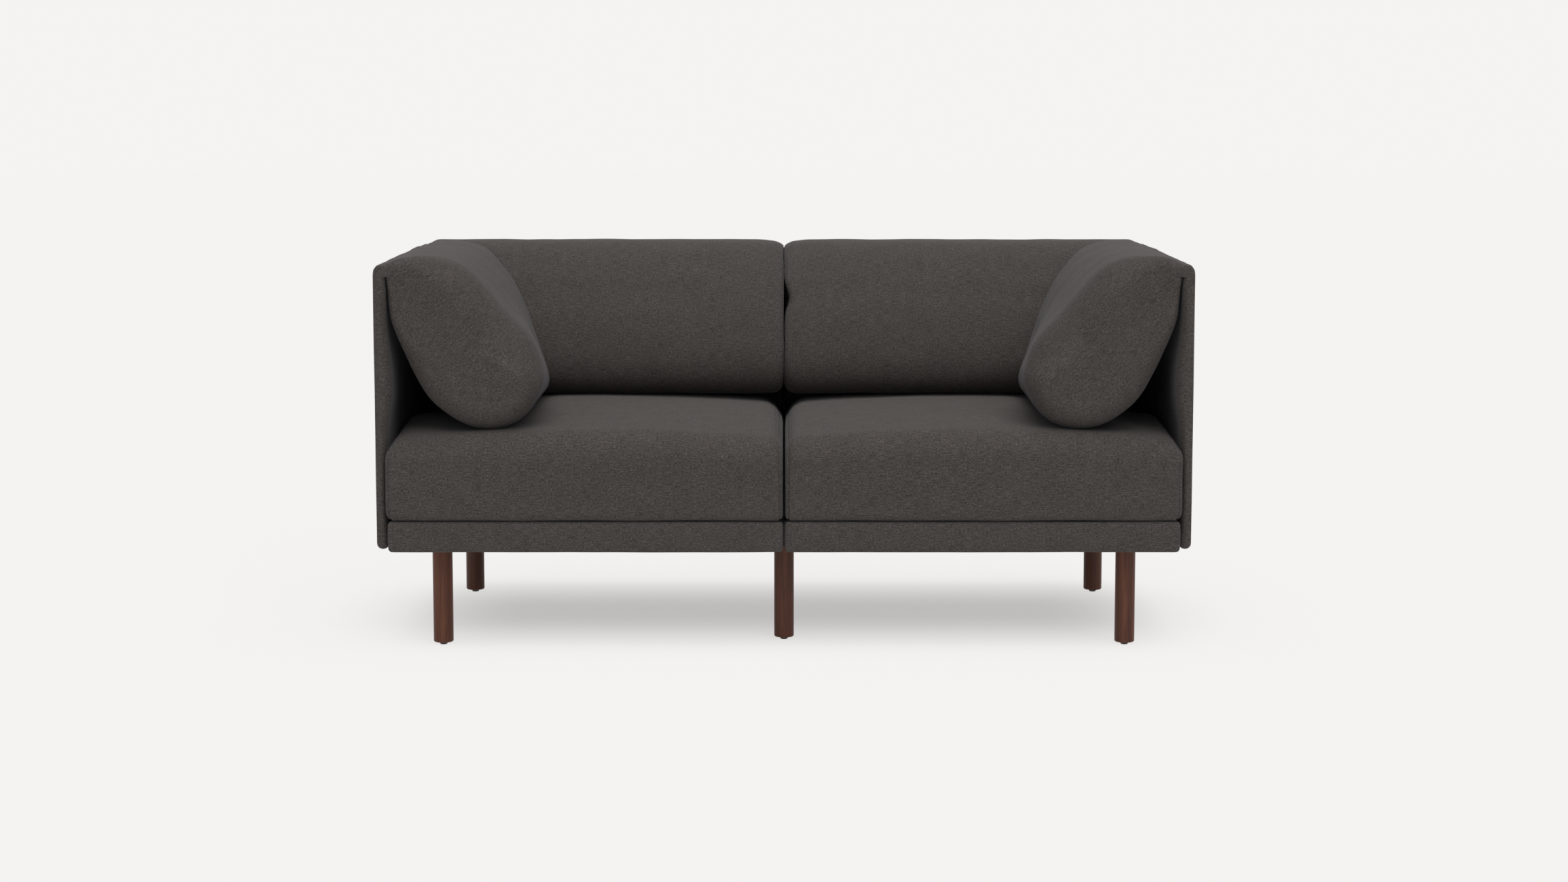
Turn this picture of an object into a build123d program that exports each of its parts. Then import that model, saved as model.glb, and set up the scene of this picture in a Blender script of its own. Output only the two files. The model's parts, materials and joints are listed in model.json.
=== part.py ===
from build123d import *
import os
from math import cos, pi, radians, sin, sqrt

os.makedirs("parts", exist_ok=True)

# Two-seater sofa: two base modules side by side, each with its seat and back cushion, and an arm
# panel with a hung cushion at each end. Millimetres, X to the right as seen from the front, Y to the
# back, Z up. The origin is on the floor, under the middle of the sofa.

# Overall sizes
overall_width = 1625.0
overall_depth = 840.0
panel_top = 770.0
base_bottom = 200.0
base_height = 62.0
module_gap = 3.0

# Arm and back panels: padding and fabric round a plywood board
panel_thickness = 22.5
panel_padding = 5.0
panel_hem = 8.0
panel_corner_radius = 14.0
panel_outer_radius = 10.0
panel_inner_radius = 5.0
panel_setback = 18.0
panel_lift = 3.0

# Base frame and its upholstery
cover_wall = 4.0
cover_flap = 24.0
cover_radius = 8.0
rail_thickness = 22.0
stretcher_height = 36.0
block_height = 36.0
block_margin = 45.0
inner_block_width = 50.0
deck_thickness = 2.0
dust_cover_thickness = 1.0
cloth_play = 0.5

# Sinuous springs, five to a seat, their round wire taken as square
spring_count = 5
spring_spacing = 125.0
spring_wire = 4.0
spring_swing = 34.0
spring_bends = 13
spring_bend_radius = 16.0
spring_play = 0.3
spring_lead = 25.0
clip_width = 20.0
clip_depth = 8.0
clip_height = 7.0
clip_play = 0.05

# Seat cushions: boxed, crowned both ways
seat_edge_top = 424.0
seat_crown_deep = 20.0
seat_crown_across = 16.0
seat_front_radius = 55.0
seat_rear_radius = 30.0
seat_shoulder_radius = 45.0
seat_edge_radius = 13.0
seat_wrap = 22.0
seat_play = 0.5

# Hung cushions of the arms and the back
hung_reach = 287.0
filling_end_wrap = 60.0
rest_clearance = 0.8
arm_front_reveal = 10.0
arm_rear_reach = 135.0
arm_play = 0.6
arm_end_length = 90.0
back_play = 0.3
back_end_length = 30.0
back_bottom_clearance = 0.6
hung_to_hung_clearance = 2.0
hinge_strip_width = 12.5
hinge_strip_thickness = 2.5
pivot_rise = 4.0

# Shares of a cushion's own size
arm_end_share = 0.55
back_end_share = 0.93
hung_crown_share = 0.02
hung_centre_share = 0.5
quarter_share = 0.25
middle_station_shares = (0.25, 0.5, 0.75)

# Outline of a hung cushion, seen along its length: how far it stands from the panel as a share of
# its reach, its height as a share of its drop, and the way the outline heads there, in degrees.
hung_outline_shares = [
    (0.0, 0.988, -90),
    (0.418, 0.087, -35),
    (0.742, 0.0, 0),
    (1.0, 0.219, 90),
    (0.488, 0.988, 150),
    (0.0, 1.0, 200),
]
rest_index = 2
belly_index = 3
brow_index = 4

# Outline of the filling inside a hung cushion, as shares of the same two sizes
filling_outline_shares = [
    (0.1, 0.9),
    (0.22, 0.5),
    (0.5, 0.2),
    (0.72, 0.1),
    (0.9, 0.25),
    (0.72, 0.65),
    (0.4, 0.92),
]

# Sections that the lofts take round an end, and along an arm cushion
seat_end_steps = 4
back_end_steps = 3
arm_end_steps = 5
arm_length_steps = 4

# Legs, with a screw-in glide under each and a hanger bolt into the frame
leg_diameter = 40.0
leg_end_radius = 3.0
corner_leg_inset_side = 100.0
corner_leg_inset_front = 83.0
corner_leg_inset_rear = 109.0
centre_leg_inset_front = 140.0
centre_leg_inset_rear = 166.0
glide_height = 5.5
glide_play = 0.2
glide_head_diameter = 16.0
glide_head_radius = 3.0
glide_stem_diameter = 8.0
glide_stem_length = 22.0
glide_stem_play = 0.05
hanger_diameter = 8.0
hanger_in_leg = 35.0
hanger_in_block = 25.0
plate_size = 60.0
centre_plate_width = 120.0
bolt_play = 0.2

# Bolts that join the panels and the two bases
bolt_diameter = 8.0
bolt_head_diameter = 14.0
bolt_head_height = 5.0
arm_bolt_clearance = 42.0
module_bolt_clearance = 60.0

# What follows from these sizes
front = -overall_depth / 2
rear = overall_depth / 2
module_in = module_gap / 2
module_out = overall_width / 2 - panel_thickness
module_back = rear - panel_thickness
module_width = module_out - module_in
base_top = base_bottom + base_height
rail_bottom = base_bottom + cover_wall
rail_top = base_top - cover_wall
frame_in = module_in + cover_wall
frame_out = module_out - cover_wall
frame_front = front + cover_wall
frame_back = module_back - cover_wall
well_in = frame_in + rail_thickness
well_out = frame_out - rail_thickness
well_front = frame_front + rail_thickness
well_back = frame_back - rail_thickness
well_middle = (well_front + well_back) / 2
bolt_height = (rail_bottom + rail_top) / 2
panel_bottom = base_bottom + panel_lift
panel_front = front + panel_setback
seat_out = module_out - seat_play
seat_back = module_back - seat_play
back_bolt_places = (module_in + module_width * quarter_share, module_out - module_width * quarter_share)

corner_leg_x = module_out - corner_leg_inset_side
corner_leg_ys = {"front": front + corner_leg_inset_front, "rear": module_back - corner_leg_inset_rear}
centre_leg_ys = {"front": front + centre_leg_inset_front, "rear": module_back - centre_leg_inset_rear}
sides = {"left": -1, "right": 1}


def between_blocks(leg_ys, clearance):
    """Two bolt places between the front and the rear leg's blocks, a clearance from each."""
    return (leg_ys["front"] + block_margin + clearance, leg_ys["rear"] - block_margin - clearance)


arm_bolt_places = between_blocks(corner_leg_ys, arm_bolt_clearance)
module_bolt_places = between_blocks(centre_leg_ys, module_bolt_clearance)


def save(piece, node):
    """Label a finished piece and write it."""
    piece.part.label = node
    export_step(piece.part, f"parts/{node}.step")


def block(xs, ys, zs, mode=Mode.ADD):
    """A box between two values on each axis."""
    with Locations((sum(xs) / 2, sum(ys) / 2, sum(zs) / 2)):
        Box(abs(xs[1] - xs[0]), abs(ys[1] - ys[0]), abs(zs[1] - zs[0]), mode=mode)


def rod_x(xs, y, z, radius, mode=Mode.ADD):
    """A round rod along X."""
    with Locations(Location((sum(xs) / 2, y, z), (0, 90, 0))):
        Cylinder(radius, abs(xs[1] - xs[0]), mode=mode)


def rod_y(x, ys, z, radius, mode=Mode.ADD):
    """A round rod along Y."""
    with Locations(Location((x, sum(ys) / 2, z), (90, 0, 0))):
        Cylinder(radius, abs(ys[1] - ys[0]), mode=mode)


def rod_z(x, y, zs, radius, mode=Mode.ADD):
    """A round rod along Z."""
    with Locations((x, y, sum(zs) / 2)):
        Cylinder(radius, abs(zs[1] - zs[0]), mode=mode)


def bump(share):
    """A crown: nothing at both ends, 1 in the middle."""
    return 1 - (2 * share - 1) ** 2


def rounding(distance, radius):
    """How far a rounded edge of this radius lies back at a distance from its side."""
    if distance >= radius:
        return 0.0
    return radius - sqrt(radius**2 - (radius - distance) ** 2)


def end_stations(start, end, length, steps):
    """Places along a cushion, close together near its rounded ends."""
    near = [length * (1 - cos(i * pi / 2 / steps)) for i in range(steps + 1)]
    middle = [start + (end - start) * share for share in middle_station_shares]
    return [start + d for d in near] + middle + [end - d for d in reversed(near)]


# Seat cushions


def seat_top(x, y):
    """Height of a seat cushion's crowned top, away from its rounded edges."""
    across = bump((x - module_in) / (seat_out - module_in))
    deep = bump((y - front) / (seat_back - front))
    return seat_edge_top + seat_crown_across * across + seat_crown_deep * deep


def seat_section(side, x):
    """One section of a seat cushion across X."""
    near = min(x - module_in, seat_out - x)
    edge = rounding(near, seat_edge_radius)
    low_y = front + edge
    high_y = seat_back - edge
    low_z = base_top + edge
    high_z = seat_top(x, front) - rounding(near, seat_shoulder_radius)
    corners = [(low_y, low_z), (high_y, low_z), (high_y, high_z), (low_y, high_z)]
    radii = [seat_edge_radius, seat_edge_radius, seat_rear_radius, seat_front_radius]
    with BuildSketch(Plane.YZ.offset(side * x)) as section:
        with BuildLine():
            Line(corners[0], corners[1])
            Line(corners[1], corners[2])
            ThreePointArc(corners[2], ((low_y + high_y) / 2, high_z + seat_crown_deep), corners[3])
            Line(corners[3], corners[0])
        make_face()
        for corner, radius in zip(corners, radii):
            fillet(section.vertices().sort_by_distance(corner)[0], radius)
    return section.sketch


seat_stations = end_stations(module_in, seat_out, seat_shoulder_radius, seat_end_steps)

for name, side in sides.items():
    foam_xs = (side * (module_in + seat_wrap), side * (seat_out - seat_wrap))
    foam_ys = (front + seat_wrap, seat_back - seat_wrap)
    foam_zs = (base_top + seat_edge_radius, seat_edge_top - seat_wrap)
    with BuildPart() as seat_foam:
        block(foam_xs, foam_ys, foam_zs)
    save(seat_foam, f"seat_foam_{name}")

    with BuildPart() as seat_cushion:
        loft([seat_section(side, x) for x in seat_stations], ruled=True)
        block(foam_xs, foam_ys, foam_zs, Mode.SUBTRACT)
    save(seat_cushion, f"seat_cushion_{name}")


# Hung cushions


def arc_pair(start, start_way, end, end_way):
    """Two arcs from one point and heading to the next, tangent where they join."""
    gap = end - start
    square = 2 * (1 - start_way.dot(end_way))
    linear = 2 * gap.dot(start_way + end_way)
    reach = (sqrt(linear**2 + 4 * square * gap.dot(gap)) - linear) / (2 * square)
    join = (start + end + (start_way - end_way) * reach) / 2
    join_way = gap - (start_way + end_way) * reach
    TangentArc(start, join, tangent=start_way)
    TangentArc(join, end, tangent=join_way.normalized())


def hung_nodes(wall, toward, bottom, top, reach, share):
    """Points and headings of a hung cushion's outline, drawn in to a share about its middle."""
    nodes = []
    for across, up, heading in hung_outline_shares:
        across = hung_centre_share + (across - hung_centre_share) * share
        up = hung_centre_share + (up - hung_centre_share) * share
        point = Vector(wall + toward * reach * across, bottom + (top - bottom) * up)
        nodes.append((point, Vector(toward * cos(radians(heading)), sin(radians(heading)))))
    return nodes


def hung_section(plane, wall, toward, bottom, top, reach, share):
    """One section of a hung cushion."""
    nodes = hung_nodes(wall, toward, bottom, top, reach, share)
    with BuildSketch(plane) as section:
        with BuildLine():
            for (start, start_way), (end, end_way) in zip(nodes, nodes[1:]):
                arc_pair(start, start_way, end, end_way)
            Line(nodes[-1][0], nodes[0][0])
        make_face()
    return section.sketch


def end_share_at(distance, length, least):
    """Share that a rounded end is drawn in to, at a distance from its tip."""
    if distance >= length:
        return 1.0
    return least + (1 - least) * sqrt(1 - (1 - distance / length) ** 2)


back_wall = module_back - back_play
back_contact = back_wall - hung_reach * hung_outline_shares[rest_index][0]
back_bottom = seat_top((module_in + seat_out) / 2, back_contact) + back_bottom_clearance
back_out = module_out - seat_play


def hung_filling(plane, wall, toward, bottom, top, length):
    """The filling of a hung cushion: a plain prism well inside it, along the plane's normal."""
    points = []
    for across, up in filling_outline_shares:
        points.append((wall + toward * hung_reach * across, bottom + (top - bottom) * up))
    with BuildSketch(plane) as section:
        with BuildLine():
            Polyline(*points, close=True)
        make_face()
    extrude(section.sketch, amount=length)


for name, side in sides.items():
    with BuildPart() as back_filling:
        near_end = Plane.YZ.offset(side * (module_in + filling_end_wrap))
        length = side * (module_width - 2 * filling_end_wrap)
        hung_filling(near_end, back_wall, -1, back_bottom, panel_top, length)
    save(back_filling, f"back_filling_{name}")

    with BuildPart() as back_cushion:
        sections = []
        for x in end_stations(module_in, back_out, back_end_length, back_end_steps):
            along = (x - module_in) / (back_out - module_in)
            reach = hung_reach * (1 - hung_crown_share * (1 - bump(along)))
            share = end_share_at(min(x - module_in, back_out - x), back_end_length, back_end_share)
            plane = Plane.YZ.offset(side * x)
            sections.append(hung_section(plane, back_wall, -1, back_bottom, panel_top, reach, share))
        loft(sections, ruled=True)
        add(back_filling.part, mode=Mode.SUBTRACT)
    save(back_cushion, f"back_cushion_{name}")

arm_front = panel_front + arm_front_reveal
arm_wall = module_out - arm_play
arm_contact = arm_wall - hung_reach * hung_outline_shares[rest_index][0]
pivot_height = panel_top + pivot_rise

# The arm cushion's rear end follows the front of the back cushion, a clearance before it
behind_wall = back_wall - hung_to_hung_clearance
behind_lift = hung_to_hung_clearance
behind_nodes = hung_nodes(
    behind_wall, -1, back_bottom + behind_lift, panel_top + behind_lift, hung_reach, 1
)
arm_rear = behind_nodes[brow_index][0].X
filling_rear = behind_nodes[belly_index][0].X


def arm_stations():
    """Places along an arm cushion, close together round its front end."""
    near = [arm_end_length * (1 - cos(i * pi / 2 / arm_end_steps)) for i in range(arm_end_steps + 1)]
    start = arm_front + arm_end_length
    rest = [(arm_rear - start) * i / arm_length_steps for i in range(1, arm_length_steps + 1)]
    return [arm_front + d for d in near] + [start + d for d in rest]


for name, side in sides.items():
    with BuildPart() as arm_filling:
        start = arm_front + filling_end_wrap
        length = filling_rear - filling_end_wrap - start
        bottom = seat_top(arm_contact, (start + filling_rear) / 2) + rest_clearance
        plane = Plane.XZ.offset(-start - length)
        hung_filling(plane, side * arm_wall, -side, bottom, pivot_height, length)
    save(arm_filling, f"arm_filling_{name}")

    with BuildPart() as arm_cushion:
        sections = []
        for y in arm_stations():
            along = (y - arm_front) / (arm_rear - arm_front)
            reach = hung_reach * (1 - hung_crown_share * (1 - bump(along)))
            share = end_share_at(y - arm_front, arm_end_length, arm_end_share)
            bottom = seat_top(arm_contact, y) + rest_clearance
            plane = Plane.XZ.offset(-y)
            sections.append(hung_section(plane, side * arm_wall, -side, bottom, pivot_height, reach, share))
        loft(sections, ruled=True)
        belly, brow = behind_nodes[belly_index][0], behind_nodes[brow_index][0]
        with BuildSketch(Plane.YZ.offset(side * module_in)):
            with BuildLine():
                Line((belly.X, base_top), (belly.X, belly.Y))
                arc_pair(*behind_nodes[belly_index], *behind_nodes[brow_index])
                Line((brow.X, brow.Y), (rear, brow.Y))
                Line((rear, brow.Y), (rear, base_top))
                Line((rear, base_top), (belly.X, base_top))
            make_face()
        extrude(amount=side * module_width, mode=Mode.SUBTRACT)
        add(arm_filling.part, mode=Mode.SUBTRACT)
    save(arm_cushion, f"arm_cushion_{name}")


# Arm and back panels

for name, side in sides.items():
    inner = side * module_out
    board_xs = (side * (module_out + panel_padding), side * (module_out + panel_thickness - panel_padding))
    board_ys = (panel_front + panel_hem, rear - panel_hem)
    board_zs = (panel_bottom + panel_hem, panel_top - panel_hem)
    with BuildPart() as arm_board:
        block(board_xs, board_ys, board_zs)
        for y in arm_bolt_places:
            rod_x(board_xs, y, bolt_height, bolt_diameter / 2, Mode.SUBTRACT)
    save(arm_board, f"arm_board_{name}")

    with BuildPart() as arm_panel:
        with BuildSketch(Plane.YZ.offset(inner)):
            with Locations(((panel_front + rear) / 2, (panel_bottom + panel_top) / 2)):
                RectangleRounded(rear - panel_front, panel_top - panel_bottom, panel_corner_radius)
        extrude(amount=side * panel_thickness)
        outwards = Axis((0, 0, 0), (side, 0, 0))
        fillet(arm_panel.faces().sort_by(outwards)[-1].edges(), panel_outer_radius)
        fillet(arm_panel.faces().sort_by(outwards)[0].edges(), panel_inner_radius)
        block(board_xs, board_ys, board_zs, Mode.SUBTRACT)
        for y in arm_bolt_places:
            rod_x((inner, board_xs[0]), y, bolt_height, bolt_diameter / 2 + bolt_play, Mode.SUBTRACT)
    save(arm_panel, f"arm_panel_{name}")

    module_xs = (side * module_in, side * module_out)
    board_xs = (side * (module_in + panel_hem), side * (module_out - panel_hem))
    board_ys = (module_back + panel_padding, rear - panel_padding)
    with BuildPart() as back_board:
        block(board_xs, board_ys, board_zs)
        for x in back_bolt_places:
            rod_y(side * x, board_ys, bolt_height, bolt_diameter / 2, Mode.SUBTRACT)
    save(back_board, f"back_board_{name}")

    with BuildPart() as back_panel:
        with BuildSketch(Plane.XZ.offset(-rear)):
            with Locations((sum(module_xs) / 2, (panel_bottom + panel_top) / 2)):
                RectangleRounded(module_width, panel_top - panel_bottom, panel_corner_radius)
        extrude(amount=panel_thickness)
        fillet(back_panel.faces().sort_by(Axis.Y)[-1].edges(), panel_outer_radius)
        fillet(back_panel.faces().sort_by(Axis.Y)[0].edges(), panel_inner_radius)
        block(board_xs, board_ys, board_zs, Mode.SUBTRACT)
        for x in back_bolt_places:
            hole = (module_back, board_ys[0])
            rod_y(side * x, hole, bolt_height, bolt_diameter / 2 + bolt_play, Mode.SUBTRACT)
    save(back_panel, f"back_panel_{name}")

    strip_zs = (panel_top, panel_top + hinge_strip_thickness)
    with BuildPart() as arm_hinge:
        block((inner, side * (module_out + hinge_strip_width)), (arm_front, arm_rear), strip_zs)
    save(arm_hinge, f"arm_hinge_strip_{name}")

    strip_xs = (side * (module_in + panel_corner_radius), side * (module_out - panel_corner_radius))
    with BuildPart() as back_hinge:
        block(strip_xs, (module_back, module_back + hinge_strip_width), strip_zs)
    save(back_hinge, f"back_hinge_strip_{name}")


# Base modules: hardwood frame, springs and upholstery


def cut_plate_pockets(side, zs):
    """Room for the leg plates in what lies round them; the centre plates bridge both bases."""
    half = plate_size / 2 + cloth_play
    for y in corner_leg_ys.values():
        x = side * corner_leg_x
        block((x - half, x + half), (y - half, y + half), zs, Mode.SUBTRACT)
    for y in centre_leg_ys.values():
        reach = centre_plate_width / 2 + cloth_play
        block((-reach, reach), (y - half, y + half), zs, Mode.SUBTRACT)


for name, side in sides.items():
    rail_zs = (rail_bottom, rail_top)
    frame_xs = (side * frame_in, side * frame_out)
    well_xs = (side * well_in, side * well_out)
    well_ys = (well_front, well_back)

    with BuildPart() as front_rail:
        block(frame_xs, (frame_front, well_front), rail_zs)
    save(front_rail, f"front_rail_{name}")

    with BuildPart() as rear_rail:
        block(frame_xs, (well_back, frame_back), rail_zs)
        for x in back_bolt_places:
            hole = (well_back, frame_back)
            rod_y(side * x, hole, bolt_height, bolt_diameter / 2 + bolt_play, Mode.SUBTRACT)
    save(rear_rail, f"rear_rail_{name}")

    with BuildPart() as outer_rail:
        outer_xs = (side * well_out, side * frame_out)
        block(outer_xs, well_ys, rail_zs)
        for y in arm_bolt_places:
            rod_x(outer_xs, y, bolt_height, bolt_diameter / 2 + bolt_play, Mode.SUBTRACT)
    save(outer_rail, f"outer_rail_{name}")

    with BuildPart() as inner_rail:
        inner_xs = (side * frame_in, side * well_in)
        block(inner_xs, well_ys, rail_zs)
        for y in module_bolt_places:
            rod_x(inner_xs, y, bolt_height, bolt_diameter / 2 + bolt_play, Mode.SUBTRACT)
    save(inner_rail, f"inner_rail_{name}")

    with BuildPart() as stretcher:
        middle_ys = (well_middle - rail_thickness / 2, well_middle + rail_thickness / 2)
        block(well_xs, middle_ys, (rail_bottom, rail_bottom + stretcher_height))
    save(stretcher, f"stretcher_{name}")

    with BuildPart() as base_cover:
        block((side * module_in, side * module_out), (front, module_back), (base_bottom, base_top))
        fillet(base_cover.edges(), cover_radius)
        block(frame_xs, (frame_front, frame_back), rail_zs, Mode.SUBTRACT)
        open_xs = (side * (module_in + cover_flap), side * (module_out - cover_flap))
        open_ys = (front + cover_flap, module_back - cover_flap)
        block(open_xs, open_ys, (base_bottom, base_top), Mode.SUBTRACT)
        cut_plate_pockets(side, (base_bottom, rail_bottom))
        for y in arm_bolt_places:
            wall_xs = (side * frame_out, side * module_out)
            rod_x(wall_xs, y, bolt_height, bolt_diameter / 2 + bolt_play, Mode.SUBTRACT)
        for y in module_bolt_places:
            wall_xs = (side * module_in, side * frame_in)
            rod_x(wall_xs, y, bolt_height, bolt_diameter / 2 + bolt_play, Mode.SUBTRACT)
        for x in back_bolt_places:
            wall_ys = (frame_back, module_back)
            rod_y(side * x, wall_ys, bolt_height, bolt_diameter / 2 + bolt_play, Mode.SUBTRACT)
    save(base_cover, f"base_cover_{name}")

    with BuildPart() as deck_cloth:
        block(open_xs, open_ys, (rail_top, rail_top + deck_thickness))
    save(deck_cloth, f"deck_cloth_{name}")

    with BuildPart() as dust_cover:
        dust_zs = (rail_bottom - dust_cover_thickness, rail_bottom)
        block(open_xs, open_ys, dust_zs)
        cut_plate_pockets(side, dust_zs)
    save(dust_cover, f"dust_cover_{name}")

with BuildPart() as corner_blocks:
    block_zs = (rail_bottom, rail_bottom + block_height)
    for side in sides.values():
        for place, y in corner_leg_ys.items():
            ys = (well_front, y + block_margin) if place == "front" else (y - block_margin, well_back)
            block((side * (corner_leg_x - block_margin), side * well_out), ys, block_zs)
            hole_zs = (rail_bottom, rail_bottom + hanger_in_block)
            rod_z(side * corner_leg_x, y, hole_zs, hanger_diameter / 2, Mode.SUBTRACT)
        for y in centre_leg_ys.values():
            ys = (y - block_margin, y + block_margin)
            block((side * well_in, side * (well_in + inner_block_width)), ys, block_zs)
save(corner_blocks, "corner_blocks")

# Sinuous springs run from the front rail to the rear rail, just under the deck cloth
wire_height = rail_top - spring_wire / 2 - spring_play
spring_step = (well_back - well_front - 2 * spring_lead) / spring_bends
spring_points = [(0, well_front), (0, well_front + spring_lead)]
for bend in range(spring_bends):
    sway = spring_swing if bend % 2 == 0 else -spring_swing
    spring_points.append((sway, well_front + spring_lead + bend * spring_step))
    spring_points.append((sway, well_front + spring_lead + (bend + 1) * spring_step))
spring_points += [(0, well_back - spring_lead), (0, well_back)]

with BuildPart() as spring_strand:
    with BuildLine(Plane.XY.offset(wire_height)):
        FilletPolyline(*spring_points, radius=spring_bend_radius)
    with BuildSketch(Plane.XZ.offset(-well_front)):
        with Locations((0, wire_height)):
            Rectangle(spring_wire, spring_wire)
    sweep()

spring_middle = (well_in + well_out) / 2
spring_places = [
    spring_middle + (index - (spring_count - 1) / 2) * spring_spacing for index in range(spring_count)
]

for name, side in sides.items():
    with BuildPart() as seat_springs:
        with Locations(*[(side * x, 0) for x in spring_places]):
            add(spring_strand.part)
    save(seat_springs, f"seat_springs_{name}")

with BuildPart() as spring_clips:
    slot = spring_wire / 2 + clip_play
    for side in sides.values():
        for x in spring_places:
            for ys in ((well_front, well_front + clip_depth), (well_back - clip_depth, well_back)):
                clip_xs = (side * x - clip_width / 2, side * x + clip_width / 2)
                slot_xs = (side * x - slot, side * x + slot)
                block(clip_xs, ys, (rail_top - clip_height, rail_top))
                block(slot_xs, ys, (wire_height - slot, wire_height + slot), Mode.SUBTRACT)
save(spring_clips, "spring_clips")


# Legs, plates, glides and bolts


def leg_places():
    """Name and place of each leg."""
    places = {}
    for end in ("front", "rear"):
        places[f"{end}_left"] = (-corner_leg_x, corner_leg_ys[end])
        places[f"{end}_centre"] = (0, centre_leg_ys[end])
        places[f"{end}_right"] = (corner_leg_x, corner_leg_ys[end])
    return places


for place, (x, y) in leg_places().items():
    with BuildPart() as leg:
        rod_z(x, y, (glide_height, base_bottom), leg_diameter / 2)
        fillet(leg.edges().sort_by(Axis.Z)[0], leg_end_radius)
        stem_zs = (glide_height, glide_height + glide_stem_length)
        rod_z(x, y, stem_zs, glide_stem_diameter / 2, Mode.SUBTRACT)
        rod_z(x, y, (base_bottom - hanger_in_leg, base_bottom), hanger_diameter / 2, Mode.SUBTRACT)
    save(leg, f"leg_{place}")

    with BuildPart() as glide:
        head_top = glide_height - glide_play
        rod_z(x, y, (0, head_top), glide_head_diameter / 2)
        fillet(glide.edges().sort_by(Axis.Z)[0], glide_head_radius)
        rod_z(x, y, (head_top, stem_zs[1] - glide_play), glide_stem_diameter / 2 - glide_stem_play)
    save(glide, f"glide_{place}")

with BuildPart() as leg_plates:
    for place, (x, y) in leg_places().items():
        half_width = centre_plate_width / 2 if place.endswith("centre") else plate_size / 2
        plate_ys = (y - plate_size / 2, y + plate_size / 2)
        block((x - half_width, x + half_width), plate_ys, (base_bottom, rail_bottom))
        rod_z(x, y, (base_bottom, rail_bottom), hanger_diameter / 2, Mode.SUBTRACT)
save(leg_plates, "leg_plates")

with BuildPart() as hanger_bolts:
    for place, (x, y) in leg_places().items():
        top = rail_bottom if place.endswith("centre") else rail_bottom + hanger_in_block
        rod_z(x, y, (base_bottom - hanger_in_leg, top), hanger_diameter / 2)
save(hanger_bolts, "hanger_bolts")

with BuildPart() as frame_bolts:
    for side in sides.values():
        for y in arm_bolt_places:
            head_xs = (side * (well_out - bolt_head_height), side * well_out)
            tip = module_out + panel_thickness - panel_padding
            rod_x(head_xs, y, bolt_height, bolt_head_diameter / 2)
            rod_x((side * well_out, side * tip), y, bolt_height, bolt_diameter / 2)
        for x in back_bolt_places:
            rod_y(side * x, (well_back - bolt_head_height, well_back), bolt_height, bolt_head_diameter / 2)
            rod_y(side * x, (well_back, rear - panel_padding), bolt_height, bolt_diameter / 2)
        for y in module_bolt_places:
            head_xs = (side * well_in, side * (well_in + bolt_head_height))
            rod_x(head_xs, y, bolt_height, bolt_head_diameter / 2)
    for y in module_bolt_places:
        rod_x((-well_in, well_in), y, bolt_height, bolt_diameter / 2)
save(frame_bolts, "frame_bolts")
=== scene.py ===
import json
from math import cos, pi, radians, sin

import bmesh
import bpy
import numpy as np
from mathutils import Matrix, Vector, noise


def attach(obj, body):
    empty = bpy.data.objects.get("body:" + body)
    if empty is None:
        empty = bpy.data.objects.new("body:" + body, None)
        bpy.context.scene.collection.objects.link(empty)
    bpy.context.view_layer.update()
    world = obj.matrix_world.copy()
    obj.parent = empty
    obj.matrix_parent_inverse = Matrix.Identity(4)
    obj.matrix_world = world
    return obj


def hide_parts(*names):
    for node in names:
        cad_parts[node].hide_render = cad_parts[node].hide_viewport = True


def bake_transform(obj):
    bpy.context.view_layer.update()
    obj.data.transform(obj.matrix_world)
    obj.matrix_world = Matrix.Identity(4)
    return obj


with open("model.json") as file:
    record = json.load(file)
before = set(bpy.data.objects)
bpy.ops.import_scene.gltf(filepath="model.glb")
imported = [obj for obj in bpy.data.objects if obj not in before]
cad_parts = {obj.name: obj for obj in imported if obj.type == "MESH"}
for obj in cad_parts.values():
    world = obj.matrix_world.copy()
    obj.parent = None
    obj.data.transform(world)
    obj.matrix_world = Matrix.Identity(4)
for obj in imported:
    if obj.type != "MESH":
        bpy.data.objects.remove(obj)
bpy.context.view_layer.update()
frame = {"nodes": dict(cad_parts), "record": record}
sides = {"left": -1, "right": 1}

# metres, X to the right, Y to the back, Z up; the same places as the solids
sofa = {
    "moduleIn": 0.0015, "moduleOut": 0.790, "outer": 0.8125,
    "front": -0.420, "rear": 0.420, "backWall": 0.3972,
    "baseTop": 0.262, "panelFront": -0.402, "panelBottom": 0.203, "panelTop": 0.770,
    "clear": 0.0003, "close": 0.0002, "touch": 0.0001,  # small spaces that keep two cloths apart
}


class Wire:
    # a node socket that understands arithmetic
    def __init__(self, paint, socket):
        self.paint, self.socket = paint, socket

    def calc(self, kind, *values):
        return self.paint.add("ShaderNodeMath", {"operation": kind}, *values)

    def __add__(self, other): return self.calc("ADD", self, other)
    def __radd__(self, other): return self.calc("ADD", other, self)
    def __sub__(self, other): return self.calc("SUBTRACT", self, other)
    def __rsub__(self, other): return self.calc("SUBTRACT", other, self)
    def __mul__(self, other): return self.calc("MULTIPLY", self, other)
    def __rmul__(self, other): return self.calc("MULTIPLY", other, self)
    def __pow__(self, other): return self.calc("POWER", self, other)


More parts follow.
